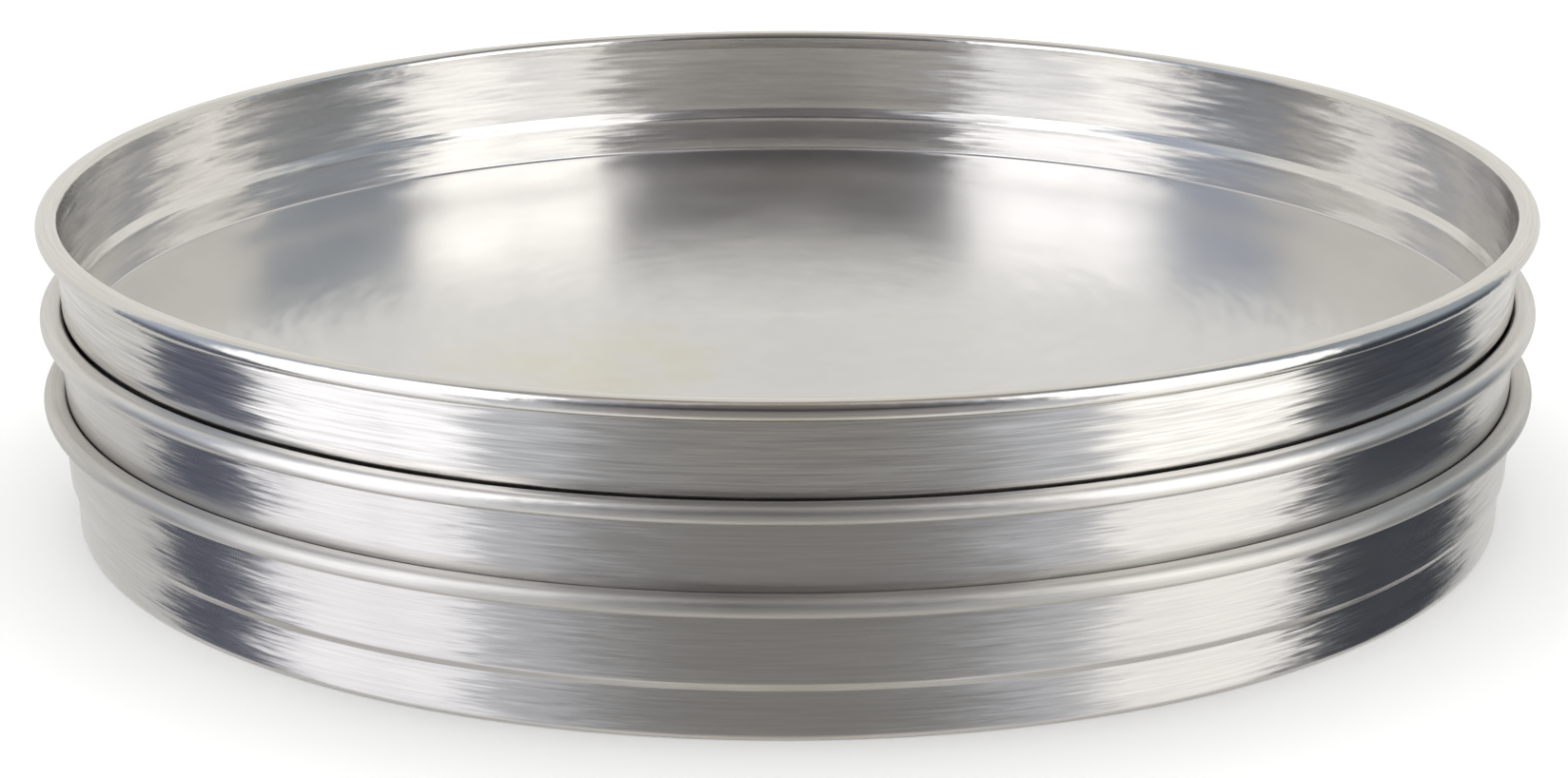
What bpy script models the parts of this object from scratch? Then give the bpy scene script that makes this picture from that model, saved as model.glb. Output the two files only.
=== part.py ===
"""A stack of three spun-aluminium stacking pans, nested as they are stored.

Every pan is the same turned sheet: a flat floor, a narrower lower wall, a sloping shoulder, an upright upper wall
and a rim that is rolled outwards and tucked back against the wall. The lower wall of each pan drops into the mouth
of the pan below, and its shoulder rests on the crowned edge of that mouth. Metres, +Z up, with the origin in the
middle of the lowest base.
"""

import math

import bpy

# One pan
MOUTH_RADIUS = 0.2021  # inside the upper wall
INSIDE_DEPTH = 0.0381  # floor to the top of the rim
SHEET = 0.0013  # gauge of the sheet
NEST_CLEARANCE = 0.0007  # round a lower wall that stands in a mouth
SHOULDER_FOOT = 0.0128  # height where the shoulder starts to slope outwards
SHOULDER_RISE = 0.0041  # from there up to the upper wall
CORNER_RADIUS = 0.0007  # inside, between the floor and the lower wall
CROWN_WIDTH = 0.00465  # mouth to the middle of the roll, over the crowned top of the rim
CURL_RADIUS = 0.00275  # outside of the roll
CURL_GAP = 0.0004  # between the tucked edge and the wall

# The stack
BOTTOM_PAN = "bottom_pan"
STAND_OFFS = {"middle_pan": 0.0005, "top_pan": 0.0030}  # each pan above its full seat

# How finely round shapes are divided
TURN_STEPS = 64
CORNER_STEPS = 2
CROWN_STEPS = 5
CURL_STEPS = 8
SEAT_SAMPLES = 200

PAN_HEIGHT = INSIDE_DEPTH + SHEET
LOWER_RADIUS = MOUTH_RADIUS - NEST_CLEARANCE  # outside the lower wall
STEP_RADIUS = MOUTH_RADIUS + SHEET  # outside the upper wall
CURL_CENTRE = (MOUTH_RADIUS + CROWN_WIDTH, PAN_HEIGHT - CURL_RADIUS)


def arc(centre, width, height, start_deg, end_deg, steps):
    """Points (radius, height) along a stretch of an ellipse with these half axes, both ends included."""
    angles = [math.radians(start_deg + (end_deg - start_deg) * i / steps) for i in range(steps + 1)]
    return [(centre[0] + width * math.cos(a), centre[1] + height * math.sin(a)) for a in angles]


def sheet_profile():
    """The face that holds the food, from the tucked edge of the rim down to the middle of the floor."""
    tucked_edge = [(STEP_RADIUS + CURL_GAP, PAN_HEIGHT - 2 * CURL_RADIUS)]
    curl = arc(CURL_CENTRE, CURL_RADIUS, CURL_RADIUS, -90, 90, CURL_STEPS)
    crown = arc(CURL_CENTRE, CROWN_WIDTH, CURL_RADIUS, 90, 180, CROWN_STEPS)
    lower_inside = LOWER_RADIUS - SHEET
    lift = SHEET * math.tan(shoulder_slope() / 2)
    shoulder_head = SHOULDER_FOOT + SHOULDER_RISE + lift
    shoulder = [(MOUTH_RADIUS, shoulder_head), (lower_inside, SHOULDER_FOOT + lift)]
    corner_centre = (lower_inside - CORNER_RADIUS, SHEET + CORNER_RADIUS)
    corner = arc(corner_centre, CORNER_RADIUS, CORNER_RADIUS, 0, -90, CORNER_STEPS)
    return tucked_edge + curl + crown[1:] + shoulder + corner + [(0.0, SHEET)]


def shoulder_slope():
    """Angle of the shoulder from the vertical."""
    return math.atan2(STEP_RADIUS - LOWER_RADIUS, SHOULDER_RISE)


def seat_pitch():
    """Height from one base to the next when the shoulder touches the crowned mouth of the pan below."""
    pitches = []
    for i in range(SEAT_SAMPLES + 1):
        radius = MOUTH_RADIUS + (STEP_RADIUS - MOUTH_RADIUS) * i / SEAT_SAMPLES
        across = (CURL_CENTRE[0] - radius) / CROWN_WIDTH
        crown_height = CURL_CENTRE[1] + CURL_RADIUS * math.sqrt(max(1.0 - across**2, 0.0))
        shoulder_height = SHOULDER_FOOT + (radius - LOWER_RADIUS) / math.tan(shoulder_slope())
        pitches.append(crown_height - shoulder_height)
    return max(pitches)


def clear_scene():
    for obj in list(bpy.data.objects):
        bpy.data.objects.remove(obj)


def aluminium():
    material = bpy.data.materials.new("spun_aluminium")
    material.use_nodes = True
    shader = material.node_tree.nodes["Principled BSDF"]
    shader.inputs["Base Color"].default_value = (0.72, 0.71, 0.69, 1.0)
    shader.inputs["Metallic"].default_value = 1.0
    shader.inputs["Roughness"].default_value = 0.3
    return material


def make_pan(name, height, collection, material):
    """One pan with its base at this height: the profile is turned about Z and given the gauge of the sheet."""
    mesh = bpy.data.meshes.new(name)
    points = [(radius, 0.0, z) for radius, z in sheet_profile()]
    mesh.from_pydata(points, [(i, i + 1) for i in range(len(points) - 1)], [])
    mesh.materials.append(material)
    pan = bpy.data.objects.new(name, mesh)
    pan.location.z = height
    collection.objects.link(pan)

    turn = pan.modifiers.new("turn", "SCREW")
    turn.axis = "Z"
    turn.angle = 2 * math.pi
    turn.steps = turn.render_steps = TURN_STEPS
    turn.use_merge_vertices = True
    turn.merge_threshold = 0.00001
    turn.use_smooth_shade = True

    gauge = pan.modifiers.new("gauge", "SOLIDIFY")
    gauge.thickness = SHEET
    gauge.offset = 1.0
    gauge.use_even_offset = True
    gauge.use_rim = True
    return pan


def main():
    clear_scene()
    stack = bpy.data.collections.new("stacking_pans")
    bpy.context.scene.collection.children.link(stack)
    material = aluminium()
    height = 0.0
    make_pan(BOTTOM_PAN, height, stack, material)
    for name, stand_off in STAND_OFFS.items():
        height += seat_pitch() + stand_off
        make_pan(name, height, stack, material)
        print(name, "base at", round(1000 * height, 2), "mm")


main()
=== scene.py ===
# Three shallow round aluminium pans, spun from sheet and nested in a stack, on a pale studio floor.
import math
import bpy
from mathutils import Matrix, Vector


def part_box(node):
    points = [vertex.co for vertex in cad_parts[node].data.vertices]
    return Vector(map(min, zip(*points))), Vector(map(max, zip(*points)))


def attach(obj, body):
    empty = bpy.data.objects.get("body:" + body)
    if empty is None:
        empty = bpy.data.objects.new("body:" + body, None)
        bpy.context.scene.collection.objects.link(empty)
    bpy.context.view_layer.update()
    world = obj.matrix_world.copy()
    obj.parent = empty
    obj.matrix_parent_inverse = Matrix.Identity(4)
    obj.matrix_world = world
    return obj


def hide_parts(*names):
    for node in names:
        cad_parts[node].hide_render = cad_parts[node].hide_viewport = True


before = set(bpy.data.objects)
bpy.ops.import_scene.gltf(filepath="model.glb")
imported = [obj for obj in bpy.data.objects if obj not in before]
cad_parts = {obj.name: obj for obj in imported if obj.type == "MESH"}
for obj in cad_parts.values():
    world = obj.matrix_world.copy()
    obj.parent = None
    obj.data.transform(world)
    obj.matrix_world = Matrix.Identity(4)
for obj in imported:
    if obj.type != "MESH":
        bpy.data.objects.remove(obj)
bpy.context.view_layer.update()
mm = 0.001
print("stage: frame loaded,", len(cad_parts), "pans")


def hexToLinear(code):
    # sRGB hex to the linear colour that a shader takes
    shares = [int(code[i:i + 2], 16) / 255 for i in (1, 3, 5)]
    return [s / 12.92 if s <= 0.04045 else ((s + 0.055) / 1.055) ** 2.4 for s in shares] + [1.0]


def addNode(tree, kind, settings=None, links=None):
    # a socket is named or numbered, and any other name is one of the node's own settings
    node = tree.nodes.new(kind)
    for key, value in (settings or {}).items():
        if isinstance(key, int) or key in node.inputs:
            node.inputs[key].default_value = value
        else:
            setattr(node, key, value)
    for key, source in (links or {}).items():
        tree.links.new(source, node.inputs[key])
    return node


def fillRamp(node, stops):
    # stops are (place, hex colour) or (place, grey level), in order
    ramp = node.color_ramp
    while len(ramp.elements) < len(stops):
        ramp.elements.new(0.5)
    for element, (place, colour) in zip(ramp.elements, stops):
        element.position = place
        element.color = hexToLinear(colour) if isinstance(colour, str) else (colour, colour, colour, 1.0)


# ---- pan shape: one sheet, millimetres, heights from the pan's own base

panShape = {
    "sheet": 1.3,
    "floorInside": 199.85,  # radius inside the lower wall at the floor
    "heelInside": 200.05,  # and where its leaning foot ends
    "heelHeight": 4.9,
    "waistHeight": 10.6,  # where it starts to lean out again
    "ledgeInside": 200.2,  # at the foot of the shoulder
    "ledgeFoot": 13.76,
    "ledgeHead": 15.96,
    "stepInside": 201.95,  # radius inside the upper wall at the shoulder
    "throatInside": 202.8,  # radius where the wall starts to flare to the rim
    "throatHeight": 29.4,
    "mouthInside": 203.1,
    "flareHeight": 34.4,
    "curlDepth": 5.5,  # height of the rolled rim
    "tuckedEdge": 205.0,  # radius of the tucked edge
    "floorBend": 0.7,  # inside bend radii
    "heelBend": 6.0,
    "ledgeBend": 1.5,
    "headBend": 0.4,
    "throatBend": 2.0,
    "mouthBend": 2.0,
    "curlBend": 2.74,
    "bendStep": 9.0,  # degrees a step round a bend
    "floorStep": 14.0,
    "wallStep": 3.2,
    "turnSteps": 288,
}


shapeChange = {"top_pan": {"ledgeFoot": 11.9, "ledgeHead": 14.5}}  # its shoulder sits lower on the wall
slightTurn = 1.0  # degrees; a corner that turns less has no bend


def bendPath(corners, bendStep):
    # corners are (radius, height, bend, finish); each bend is an arc that touches both of its runs
    path = [(corners[0][0], corners[0][1], corners[0][3])]
    for (r0, z0, _, _), (r1, z1, bend, finish), (r2, z2, _, _) in zip(corners, corners[1:], corners[2:]):
        here, before, after = Vector((r1, z1)), Vector((r0, z0)), Vector((r2, z2))
        come, go = (before - here).normalized(), (after - here).normalized()
        half = come.angle(go) / 2
        turn = math.pi - 2 * half
        if turn < math.radians(slightTurn):
            path.append((r1, z1, finish))
            continue
        centre = here + (come + go).normalized() * (bend / math.sin(half))
        start = here + come * (bend / math.tan(half)) - centre
        side = 1 if (-come).cross(go) > 0 else -1
        steps = max(2, round(math.degrees(turn) / bendStep))
        for i in range(steps + 1):
            spoke = Matrix.Rotation(side * turn * i / steps, 2) @ start
            path.append((centre.x + spoke.x, centre.y + spoke.y, finish))
    path.append((corners[-1][0], corners[-1][1], corners[-1][3]))
    return path


def splitRuns(path, longest):
    # long straight runs get more points
    full = [path[0]]
    for (r0, z0, _), (r1, z1, finish) in zip(path, path[1:]):
        parts = max(1, math.ceil(math.hypot(r1 - r0, z1 - z0) / longest[finish] - 0.01))
        for i in range(1, parts + 1):
            full.append((r0 + (r1 - r0) * i / parts, z0 + (z1 - z0) * i / parts, finish))
    return full


def otherFace(path, sheet, finishes):
    # the far face of the sheet, one gauge to the right of the path
    far = []
    for i, (r, z, finish) in enumerate(path):
        here = Vector((r, z))
        beside = [k for k in (i - 1, i) if 0 <= k < len(path) - 1]
        runs = [(Vector(path[k + 1][:2]) - Vector(path[k][:2])).normalized() for k in beside]
        rights = [Vector((run.y, -run.x)) for run in runs]
        middle = sum(rights, Vector((0, 0))).normalized()
        out = here + middle * (sheet / middle.dot(rights[0]))
        far.append((max(out.x, 0.0), out.y, finishes[finish]))
    return far


def panOutline(shape, rimRadius, height):
    # down from the middle of the floor, out to the wall, up, over the rim and back under it
    sheet = shape["sheet"]
    corners = [
        (0.0, sheet, 0, "floor"),
        (shape["floorInside"], sheet, shape["floorBend"], "floor"),
        (shape["heelInside"], shape["heelHeight"], shape["heelBend"], "inside"),
        (shape["heelInside"], shape["waistHeight"], shape["heelBend"], "inside"),
        (shape["ledgeInside"], shape["ledgeFoot"], shape["ledgeBend"], "inside"),
        (shape["stepInside"], shape["ledgeHead"], shape["headBend"], "inside"),
        (shape["throatInside"], shape["throatHeight"], shape["throatBend"], "inside"),
        (shape["mouthInside"], shape["flareHeight"], shape["throatBend"], "inside"),
        (shape["mouthInside"], height, shape["mouthBend"], "rim"),
        (rimRadius, height, shape["curlBend"], "rim"),
        (rimRadius, height - shape["curlDepth"], shape["curlBend"], "rim"),
        (shape["tuckedEdge"], height - shape["curlDepth"], 0, "rim"),
    ]
    longest = {"floor": shape["floorStep"], "inside": shape["wallStep"], "rim": shape["wallStep"]}
    near = splitRuns(bendPath(corners, shape["bendStep"]), longest)
    far = otherFace(near, sheet, {"floor": "wall", "inside": "wall", "rim": "rim"})
    return near + far[::-1]


def makePan(name, node, finishes):
    # turns the outline round Z; "sweep" holds each point's bearing and its way along the outline in mm
    low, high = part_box(node)
    base = low[2] / mm
    shape = {**panShape, **shapeChange.get(node, {})}
    outline = panOutline(shape, (high[0] - low[0]) / 2 / mm, (high[2] - low[2]) / mm)
    steps = panShape["turnSteps"]
    points, sweep, rows = [], [], []
    along = 0.0
    for i, (r, z, _) in enumerate(outline):
        if i:
            along += math.hypot(r - outline[i - 1][0], z - outline[i - 1][1])
        count = 1 if r < 0.001 else steps
        rows.append([len(points) + k for k in range(count)])
        for k in range(count):
            bearing = 2 * math.pi * k / steps
            points.append((r * math.cos(bearing) * mm, r * math.sin(bearing) * mm, (base + z) * mm))
            sweep.append((math.cos(bearing), math.sin(bearing), along))
    names = list(finishes)
    faces, slots = [], []
    for i in range(len(rows) - 1):
        a, b = rows[i], rows[i + 1]
        for k in range(steps):
            n = (k + 1) % steps
            if len(a) == 1:
                faces.append((a[0], b[k], b[n]))
            elif len(b) == 1:
                faces.append((a[n], a[k], b[0]))
            else:
                faces.append((a[n], a[k], b[k], b[n]))
            slots.append(names.index(outline[i + 1][2]))
    mesh = bpy.data.meshes.new(name)
    mesh.from_pydata(points, [], faces)
    for finish in names:
        mesh.materials.append(finishes[finish])
    mesh.polygons.foreach_set("material_index", slots)
    data = mesh.attributes.new("sweep", "FLOAT_VECTOR", "POINT")
    data.data.foreach_set("vector", [n for point in sweep for n in point])
    mesh.shade_smooth()
    mesh.update()
    pan = bpy.data.objects.new(name, mesh)
    bpy.context.scene.collection.objects.link(pan)
    return pan


# ---- aluminium, spun over a former: bare metal whose tool marks run round the axis, so a reflection is
# sharp round the pan and smeared up and down, and its edges are torn into streaks

spunFinish = {  # gaps are in mm, and a tilt is how far the slope swings across a groove
    "wall": {"rough": 0.21, "stretch": 0.75, "colour": "#E3E1DE", "ribGap": 2.2, "ribTilt": 0.30,
             "lineGap": 0.8, "lineTilt": 0.30, "strayTilt": 0.17, "strayRound": 6.0, "driftTilt": 0.07,
             "streak": 0.12},
    "inside": {"rough": 0.21, "stretch": 0.7, "colour": "#E5E3E0", "ribGap": 2.2, "ribTilt": 0.05,
               "lineGap": 1.0, "lineTilt": 0.05, "strayTilt": 0.20, "strayRound": 9.0, "driftTilt": 0.12,
               "streak": 0.03},
    "floor": {"rough": 0.22, "stretch": 0.5, "colour": "#DBDADA", "ribGap": 12.0, "ribTilt": 0.03,
              "lineGap": 5.0, "lineTilt": 0.02, "strayTilt": 0.03, "strayRound": 3.0, "driftTilt": 0.05,
              "streak": 0.01},
    "rim": {"rough": 0.18, "stretch": 0.5, "colour": "#E0DEDA", "ribGap": 0.9, "ribTilt": 0.08,
            "lineGap": 0.6, "lineTilt": 0.08, "strayTilt": 0.10, "strayRound": 60.0, "driftTilt": 0.10,
            "streak": 0.05},
}
panFinish = {  # what each pan changes: the lower ones are duller, with even ribs and worn rims
    "top_pan": {"seed": 3.0, "wall": {"lineGap": 0.6}, "floor": {"stain": (-52.0, -50.0, 50.0)}},
    "middle_pan": {"seed": 11.0,
                   "wall": {"rough": 0.25, "stretch": 0.8, "colour": "#CFCDCB", "ribGap": 1.1,
                            "ribTilt": 0.14, "lineGap": 0.5, "lineTilt": 0.14, "strayTilt": 0.22,
                            "strayRound": 14.0, "streak": 0.04},
                   "rim": {"rough": 0.36, "colour": "#DCDAD7"}},
    "bottom_pan": {"seed": 23.0,
                   "wall": {"rough": 0.26, "stretch": 0.8, "colour": "#CCCAC8", "ribGap": 1.1,
                            "ribTilt": 0.14, "lineGap": 0.5, "lineTilt": 0.14, "strayTilt": 0.22,
                            "strayRound": 14.0, "streak": 0.04},
                   "rim": {"rough": 0.46, "colour": "#D0CECA"}},
}
# round is how often the noise turns over in a radian of the pan, and shift keeps the noises apart
grooves = {
    "rib": {"round": 2.5, "detail": 2.0, "shift": 0.0},
    "line": {"round": 12.0, "detail": 2.0, "shift": 5.0},
    "stray": {"detail": 3.0, "shift": 9.0, "gapShare": 1.4},  # of the line gap
    "drift": {"round": 5.0, "detail": 2.0, "shift": 13.0, "gap": 5.0},
    "tone": {"round": 6.0, "detail": 3.0, "shift": 17.0, "gapShare": 1.2, "spread": (0.38, 0.62)},
}
dullPatches = {"scale": 28.0, "spread": (0.3, 0.7), "rough": (0.9, 1.1)}  # rough: shares of the finish's own
heatStain = {
    "colour": "#D8CFA8",
    "radius": 75.0,  # in mm, to where it has faded out
    "ragged": 45.0,  # how often its edge wanders in a metre
    "spread": (0.2, 0.5),
    "strength": 0.45,
}


def stained(tree, place, centre, colour):
    # a faint tea-coloured mark with ragged edges, left by heat
    middle = [part * mm for part in centre]
    offset = addNode(tree, "ShaderNodeVectorMath", {"operation": "DISTANCE", 1: middle},
                     {0: place.outputs["Object"]})
    edge = addNode(tree, "ShaderNodeTexNoise", {"Scale": heatStain["ragged"], "Detail": 4.0},
                   {"Vector": place.outputs["Object"]})
    reach = addNode(tree, "ShaderNodeMapRange", {"From Min": heatStain["radius"] * mm, "From Max": 0.0},
                    {"Value": offset.outputs["Value"]})
    mark = addNode(tree, "ShaderNodeMath", {"operation": "MULTIPLY"},
                   {0: reach.outputs["Result"], 1: edge.outputs["Fac"]})
    low, high = heatStain["spread"]
    share = addNode(tree, "ShaderNodeMapRange",
                    {"From Min": low, "From Max": high, "To Max": heatStain["strength"]},
                    {"Value": mark.outputs[0]})
    return addNode(tree, "ShaderNodeMix", {"data_type": "RGBA", 7: hexToLinear(heatStain["colour"])},
                   {0: share.outputs["Result"], 6: colour}).outputs[2]


def spunAluminium(name, look):
    # metal with no coat; the grooves give long torn streaks round the pan and smear the light up and down
    material = bpy.data.materials.new(name)
    material.use_nodes = True
    tree = material.node_tree
    shader = tree.nodes["Principled BSDF"]
    shader.inputs["Metallic"].default_value = 1.0
    shader.inputs["Anisotropic"].default_value = look["stretch"]
    shader.inputs["Anisotropic Rotation"].default_value = 0.25  # a quarter turn: smears across the grooves
    around = addNode(tree, "ShaderNodeTangent", {"direction_type": "RADIAL", "axis": "Z"}).outputs["Tangent"]
    tree.links.new(around, shader.inputs["Tangent"])
    sweep = addNode(tree, "ShaderNodeAttribute", {"attribute_name": "sweep"})
    place = addNode(tree, "ShaderNodeTexCoord")
    normal = addNode(tree, "ShaderNodeNewGeometry").outputs["Normal"]
    across = addNode(tree, "ShaderNodeVectorMath", {"operation": "CROSS_PRODUCT"}, {0: normal, 1: around})

    def streaks(kind, changes, gap):
        # noise drawn out round the pan, with this many changes in a radian and this gap in mm
        groove = grooves[kind]
        away = (look["seed"], groove["shift"], look["seed"] + groove["shift"])
        drawn = addNode(tree, "ShaderNodeVectorMath",
                        {"operation": "MULTIPLY_ADD", 1: (changes, changes, 1 / gap), 2: away},
                        {0: sweep.outputs["Vector"]})
        return addNode(tree, "ShaderNodeTexNoise",
                       {"Scale": 1.0, "Detail": groove["detail"], "Roughness": 0.6},
                       {"Vector": drawn.outputs["Vector"]}).outputs["Fac"]

    def leaning(direction, noises):
        # turns each noise about its middle, and adds them into one lean along this direction
        lean = None
        for noise, amount in noises:
            swing = addNode(tree, "ShaderNodeMath", {"operation": "MULTIPLY_ADD", 1: amount, 2: -amount / 2},
                            {0: noise}).outputs[0]
            if lean is None:
                lean = swing
            else:
                lean = addNode(tree, "ShaderNodeMath", {"operation": "ADD"}, {0: lean, 1: swing}).outputs[0]
        return addNode(tree, "ShaderNodeVectorMath", {"operation": "SCALE"},
                       {0: direction, "Scale": lean}).outputs[0]

    # turned ribs and polishing lines, both coarser than real ones so that they show
    ribNoise = streaks("rib", grooves["rib"]["round"], look["ribGap"])
    lineNoise = streaks("line", grooves["line"]["round"], look["lineGap"])
    # where a line wavers from its course, and the slow waves left by the roller
    strayNoise = streaks("stray", look["strayRound"], look["lineGap"] * grooves["stray"]["gapShare"])
    driftNoise = streaks("drift", grooves["drift"]["round"], grooves["drift"]["gap"])
    upDown = leaning(across.outputs[0], ((ribNoise, look["ribTilt"]), (lineNoise, look["lineTilt"])))
    sideways = leaning(around, ((strayNoise, look["strayTilt"]), (driftNoise, look["driftTilt"])))
    both = addNode(tree, "ShaderNodeVectorMath", {"operation": "ADD"}, {0: upDown, 1: sideways})
    leant = addNode(tree, "ShaderNodeVectorMath", {"operation": "ADD"}, {0: normal, 1: both.outputs[0]})
    unit = addNode(tree, "ShaderNodeVectorMath", {"operation": "NORMALIZE"}, {0: leant.outputs[0]})
    tree.links.new(unit.outputs[0], shader.inputs["Normal"])

    # brighter and duller lines
    bright = hexToLinear(look["colour"])
    dull = [part * (1 - 2 * look["streak"]) for part in bright[:3]] + [1.0]
    toneNoise = streaks("tone", grooves["tone"]["round"], look["lineGap"] * grooves["tone"]["gapShare"])
    low, high = grooves["tone"]["spread"]
    tone = addNode(tree, "ShaderNodeMapRange", {"From Min": low, "From Max": high}, {"Value": toneNoise})
    colour = addNode(tree, "ShaderNodeMix", {"data_type": "RGBA", 6: dull, 7: bright},
                     {0: tone.outputs["Result"]}).outputs[2]
    if "stain" in look:
        colour = stained(tree, place, look["stain"], colour)
    tree.links.new(colour, shader.inputs["Base Color"])

    # patches that are a little rougher, where the metal has been handled
    patchNoise = addNode(tree, "ShaderNodeTexNoise", {"Scale": dullPatches["scale"], "Detail": 1.0},
                         {"Vector": place.outputs["Object"]})
    low, high = dullPatches["spread"]
    least, most = [look["rough"] * share for share in dullPatches["rough"]]
    rough = addNode(tree, "ShaderNodeMapRange",
                    {"From Min": low, "From Max": high, "To Min": least, "To Max": most},
                    {"Value": patchNoise.outputs["Fac"]})
    tree.links.new(rough.outputs["Result"], shader.inputs["Roughness"])
    return material


for node, pieceLook in panFinish.items():
    finishes = {}
    for part, look in spunFinish.items():
        own = {**look, **pieceLook.get(part, {}), "seed": pieceLook["seed"]}
        finishes[part] = spunAluminium("spun_" + part + "_of_" + node, own)
    pan = makePan("spun_" + node, node, finishes)
    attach(pan, node)
    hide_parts(node)
print("stage: pans turned")


# ---- studio: soft panels on both sides with dark flags beside them, seen only as reflections in the metal

studio = {
    "white": 1.8,  # how bright a white stop is
    # stops run from straight down to straight up, in degrees above level
    "cameraSide": [(-90, "#A29D90"), (-58, "#96928A"), (-44, "#71706D"), (-17, "#71706E"), (-4, "#6A6867"),
                   (8, "#565453"), (11.5, "#464443"), (15, "#2C2A2C"), (26, "#2B292B"), (40, "#48474A"),
                   (56, "#524F4F"), (66, "#5F5850"), (76, "#70665A"), (90, "#8C8780")],
    "farSide": [(-90, "#A29D90"), (-52, "#ACAAA6"), (-17, "#B0B0AE"), (17, "#B8B7B3"), (58, "#B2B0AC"),
                (66, "#8A857B"), (74, "#70665A"), (90, "#8C8780")],
    "sides": (82.0, 104.0),  # bearings over which the camera's side gives way to the far side
    # added towards the panels, by bearing
    "glow": [(12, "#000000"), (22, "#24262A"), (30, "#44474E"), (38, "#7A7E86")],
    "plain": 1.3,  # even white light for everything but the reflections
}


def studioWorld():
    world = bpy.data.worlds.new("studio")
    bpy.context.scene.world = world
    world.use_nodes = True
    tree = world.node_tree
    tree.nodes.clear()
    way = addNode(tree, "ShaderNodeTexCoord")
    parts = addNode(tree, "ShaderNodeSeparateXYZ", links={0: way.outputs["Generated"]})
    front = addNode(tree, "ShaderNodeMath", {"operation": "MULTIPLY", 1: -1.0}, {0: parts.outputs["Y"]})
    bearing = addNode(tree, "ShaderNodeMath", {"operation": "ARCTAN2"},
                      {0: parts.outputs["X"], 1: front.outputs[0]})
    aside = addNode(tree, "ShaderNodeMath", {"operation": "ABSOLUTE"}, {0: bearing.outputs[0]})
    height = addNode(tree, "ShaderNodeMath", {"operation": "ARCSINE"}, {0: parts.outputs["Z"]})
    level = addNode(tree, "ShaderNodeMapRange", {"From Min": -math.pi / 2, "From Max": math.pi / 2},
                    {"Value": height.outputs[0]})
    side = {}
    for name in ("cameraSide", "farSide"):
        ramp = addNode(tree, "ShaderNodeValToRGB", links={"Fac": level.outputs["Result"]})
        fillRamp(ramp, [((angle + 90) / 180, colour) for angle, colour in studio[name]])
        side[name] = ramp.outputs["Color"]
    share = addNode(tree, "ShaderNodeMapRange", {"From Min": math.radians(studio["sides"][0]),
                                                 "From Max": math.radians(studio["sides"][1])},
                    {"Value": aside.outputs[0]})
    both = addNode(tree, "ShaderNodeMix", {"data_type": "RGBA"},
                   {0: share.outputs["Result"], 6: side["cameraSide"], 7: side["farSide"]})
    turned = addNode(tree, "ShaderNodeMath", {"operation": "DIVIDE", 1: math.pi}, {0: aside.outputs[0]})
    glow = addNode(tree, "ShaderNodeValToRGB", links={"Fac": turned.outputs[0]})
    fillRamp(glow, [(angle / 180, colour) for angle, colour in studio["glow"]])
    glowing = addNode(tree, "ShaderNodeMix", {"data_type": "RGBA", "blend_type": "ADD"},
                      {6: both.outputs[2], 7: glow.outputs["Color"]})
    near = addNode(tree, "ShaderNodeMapRange", {"From Min": math.radians(studio["sides"][1]),
                                                "From Max": math.radians(studio["sides"][0])},
                   {"Value": aside.outputs[0]})
    tree.links.new(near.outputs["Result"], glowing.inputs[0])
    seen = addNode(tree, "ShaderNodeBackground", {"Strength": studio["white"]}, {"Color": glowing.outputs[2]})
    plain = addNode(tree, "ShaderNodeBackground",
                    {"Color": (1.0, 1.0, 1.0, 1.0), "Strength": studio["plain"]})
    path = addNode(tree, "ShaderNodeLightPath")
    shown = addNode(tree, "ShaderNodeMixShader",
                    links={0: path.outputs["Is Glossy Ray"], 1: plain.outputs[0], 2: seen.outputs[0]})
    addNode(tree, "ShaderNodeOutputWorld", links={"Surface": shown.outputs[0]})


studioWorld()

# each stands upright between two places on the ground, in mm; it is shaded from its foot up, and may fade
# towards its far end and have an open seam at a share of its width
uprights = {
    "left_soft_panel": {
        "from": (-502, -686), "to": (-765, -30), "gap": 0.50, "foot": 40, "head": 1120, "light": 2.3,
        "shade": [(0.0, "#F2F2F4"), (0.9, "#FAFAFA"), (1.0, "#B8B8BC")],
        "fade": [(0.0, 0.8), (0.1, 1.0), (0.62, 1.0), (0.82, 0.62), (1.0, 0.36)]},
    "left_low_panel": {
        "from": (-559, -593), "to": (-716, -163), "gap": 0.415, "foot": -900, "head": 40, "light": 1.8,
        "shade": [(0.0, "#C8C8CC"), (0.8, "#EAEAEE"), (1.0, "#F2F2F4")],
        "fade": [(0.0, 0.85), (0.1, 1.0)]},
    "right_soft_panel": {
        "from": (440, -634), "to": (870, -80), "gap": 0.38, "foot": 40, "head": 1120, "light": 2.3,
        "shade": [(0.0, "#F2F1EE"), (0.9, "#FAF9F6"), (1.0, "#B8B7B4")],
        "fade": [(0.0, 0.8), (0.1, 1.0), (0.62, 1.0), (0.82, 0.62), (1.0, 0.36)]},
    "right_low_panel": {
        "from": (508, -555), "to": (793, -198), "gap": 0.277, "foot": -900, "head": 40, "light": 1.8,
        "shade": [(0.0, "#C8C7C4"), (0.8, "#EAE9E6"), (1.0, "#F2F1EE")],
        "fade": [(0.0, 0.85), (0.1, 1.0)]},
    "left_flag": {
        "from": (-718, -158), "to": (-752, 155), "foot": -520, "head": 2400, "light": 1.8,
        "shade": [(0.0, "#3A3E4C"), (0.152, "#3C4050"), (0.254, "#8C94A2"), (0.548, "#747C8C"),
                  (1.0, "#60646C")]},
    "right_flag": {
        "from": (796, -190), "to": (624, 310), "foot": -520, "head": 2400, "light": 1.8,
        "shade": [(0.0, "#282C32"), (0.152, "#2B2F37"), (0.254, "#7E868E"), (0.548, "#5A606A"),
                  (1.0, "#40444C")]},
}
seamHalf = 0.008  # half a seam, as a share of the width


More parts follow.
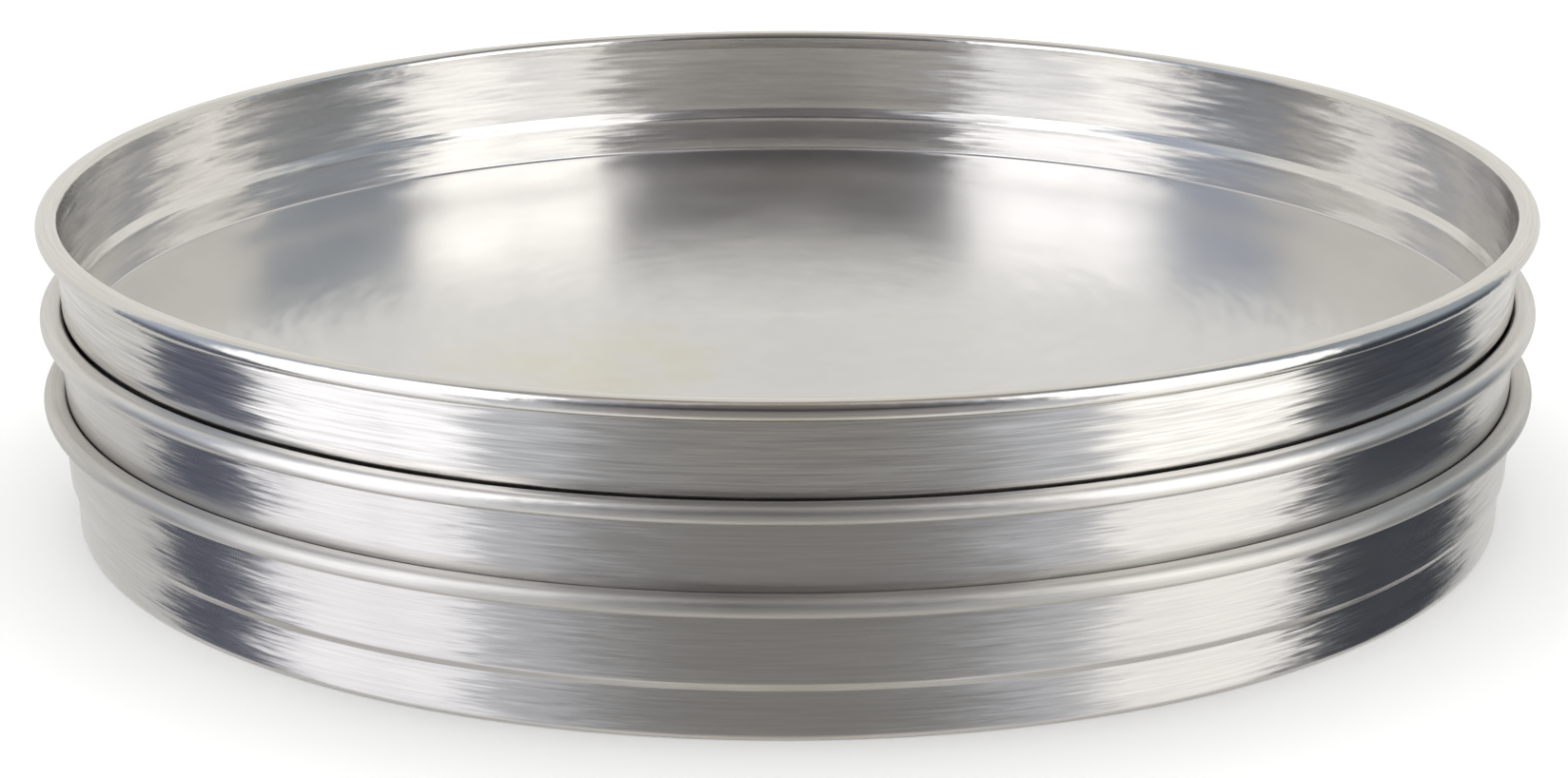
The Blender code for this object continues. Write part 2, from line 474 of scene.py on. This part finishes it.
def standUpright(name, look):
    start, end = Vector(look["from"]), Vector(look["to"])
    spans = [(0.0, 1.0)]
    if "gap" in look:
        spans = [(0.0, look["gap"] - seamHalf), (look["gap"] + seamHalf, 1.0)]
    points, faces = [], []
    foot, head = look["foot"], look["head"]
    for near, far in spans:
        first = len(points)
        for share, z in ((near, foot), (far, foot), (far, head), (near, head)):
            spot = start.lerp(end, share)
            points.append((spot.x * mm, spot.y * mm, z * mm))
        faces.append((first, first + 1, first + 2, first + 3))
    mesh = bpy.data.meshes.new(name)
    mesh.from_pydata(points, [], faces)
    panel = bpy.data.objects.new(name, mesh)
    bpy.context.scene.collection.objects.link(panel)
    cloth = bpy.data.materials.new("lit_cloth_of_" + name)  # glows evenly, or hangs nearly dark as a flag
    cloth.use_nodes = True
    tree = cloth.node_tree
    tree.nodes.clear()
    place = addNode(tree, "ShaderNodeTexCoord")
    parts = addNode(tree, "ShaderNodeSeparateXYZ", links={0: place.outputs["Generated"]})
    shade = addNode(tree, "ShaderNodeValToRGB", links={"Fac": parts.outputs["Z"]})
    fillRamp(shade, look["shade"])
    colour = shade.outputs["Color"]
    if "fade" in look:
        fade = addNode(tree, "ShaderNodeValToRGB", links={"Fac": parts.outputs["Y"]})
        fillRamp(fade, look["fade"])
        colour = addNode(tree, "ShaderNodeMix", {"data_type": "RGBA", "blend_type": "MULTIPLY", 0: 1.0},
                         {6: colour, 7: fade.outputs["Color"]}).outputs[2]
    lit = addNode(tree, "ShaderNodeEmission", {"Strength": look["light"]}, {"Color": colour})
    addNode(tree, "ShaderNodeOutputMaterial", links={"Surface": lit.outputs[0]})
    mesh.materials.append(cloth)
    panel.visible_camera = False
    panel.visible_diffuse = False
    panel.visible_shadow = False


for name, look in uprights.items():
    standUpright(name, look)


paleGround = {"half": 4.0, "colour": "#FBFBFA", "rough": 0.95, "shine": 0.1}  # half is in metres


def paleFloor(look):
    half = look["half"]
    floorMesh = bpy.data.meshes.new("pale_floor")
    corners = [(-half, -half, 0), (half, -half, 0), (half, half, 0), (-half, half, 0)]
    floorMesh.from_pydata(corners, [], [(0, 1, 2, 3)])
    floor = bpy.data.objects.new("pale_floor", floorMesh)
    bpy.context.scene.collection.objects.link(floor)
    paper = bpy.data.materials.new("matt_white_paper")  # so that the shadow under the stack stays soft
    paper.use_nodes = True
    shader = paper.node_tree.nodes["Principled BSDF"]
    shader.inputs["Base Color"].default_value = hexToLinear(look["colour"])
    shader.inputs["Roughness"].default_value = look["rough"]
    shader.inputs["Specular IOR Level"].default_value = look["shine"]
    floorMesh.materials.append(paper)
    floor.visible_glossy = False  # the low panels and the world stand in for it in the metal


paleFloor(paleGround)

cameraView = {
    "distance": 1.2017,
    "elevation": 16.94,
    "roll": -0.17,
    "lens": 96.38,
    "sensor": 36.0,
    "aim": (-0.00106, 0.0, 0.02823),
}


def placeCamera(view):
    tilt = math.radians(view["elevation"])
    camera = bpy.data.objects.new("camera", bpy.data.cameras.new("camera"))
    bpy.context.scene.collection.objects.link(camera)
    camera.data.lens = view["lens"]
    camera.data.sensor_width = view["sensor"]
    back = Vector((0.0, -math.cos(tilt), math.sin(tilt)))
    right = Vector((1.0, 0.0, 0.0))
    above = back.cross(right)
    roll = Matrix.Rotation(math.radians(view["roll"]), 3, "Z")
    turned = Matrix((right, above, back)).transposed() @ roll
    stand = Vector(view["aim"]) + back * view["distance"]
    camera.matrix_world = Matrix.Translation(stand) @ turned.to_4x4()
    bpy.context.scene.camera = camera


placeCamera(cameraView)
bpy.context.scene.view_settings.view_transform = "Standard"
print("stage: studio and camera placed")
